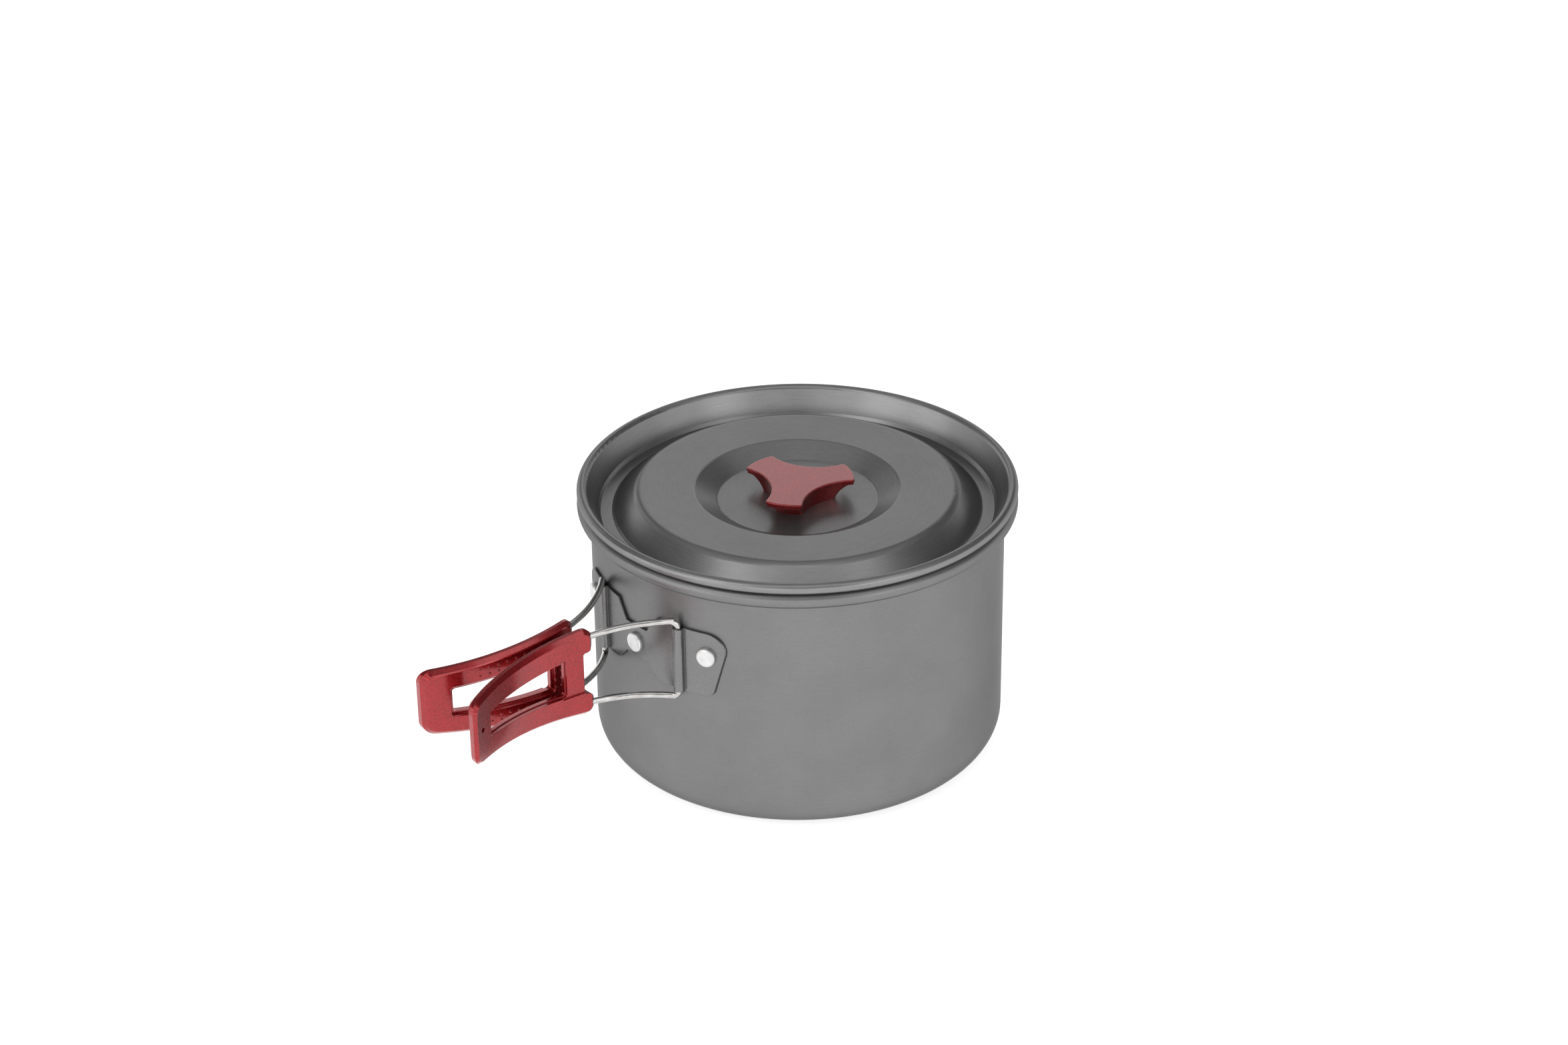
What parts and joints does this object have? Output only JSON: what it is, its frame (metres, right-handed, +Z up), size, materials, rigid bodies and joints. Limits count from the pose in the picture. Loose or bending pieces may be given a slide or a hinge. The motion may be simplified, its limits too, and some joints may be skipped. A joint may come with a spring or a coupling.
{
  "type": "camping cooking pot with lid",
  "caption": "Lidded camping pot in grey hard-anodised aluminium, with two red-gripped wire handles that fold flat round the wall and a red three-lobed lid knob.",
  "frame": {"origin": "centre of the pot's flat underside, on the pot's axis", "axes": "+Z up along the pot's axis, +X out through the middle of the handle bracket, so the open handles point along +X"},
  "size_m": [0.276, 0.185, 0.1197],
  "materials": {
    "anodised_aluminium": "hard-anodised satin grey, fine grain",
    "anodised_plate": "hard-anodised satin grey sheet",
    "rivet_aluminium": "bright pressed aluminium",
    "stainless_wire": "polished stainless wire",
    "red_grip": "moulded plastic with a metallic red coat",
    "red_knob": "moulded plastic with a metallic red coat",
    "brass_insert": "turned brass",
    "steel_hardware": "plated steel"
  },
  "bodies": {
    "pot": {"pot_body": "anodised_aluminium", "handle_bracket": "anodised_plate", "rivet_middle": "rivet_aluminium", "rivet_right": "rivet_aluminium", "rivet_left": "rivet_aluminium"},
    "right_handle": {"handle_wire_right": "stainless_wire", "handle_grip_right": "red_grip"},
    "left_handle": {"handle_wire_left": "stainless_wire", "handle_grip_left": "red_grip"},
    "lid": {"lid_shell": "anodised_aluminium", "lid_knob": "red_knob", "knob_insert": "brass_insert", "knob_washer": "steel_hardware", "knob_screw": "steel_hardware"}
  },
  "joints": [
    {"name": "right_handle_fold", "type": "hinge", "parent": "pot", "child": "right_handle", "pos_m": [0.08564, 0.02423, 0.0766], "axis": [0, 0, 1], "range_deg": [0, 143.4]},
    {"name": "left_handle_fold", "type": "hinge", "parent": "pot", "child": "left_handle", "pos_m": [0.08564, -0.02423, 0.0766], "axis": [0, 0, -1], "range_deg": [-2.5, 140.9]},
    {"name": "lid_lift", "type": "slide", "parent": "pot", "child": "lid", "axis": [0, 0, 1], "range_m": [0, 0.1]}
  ]
}
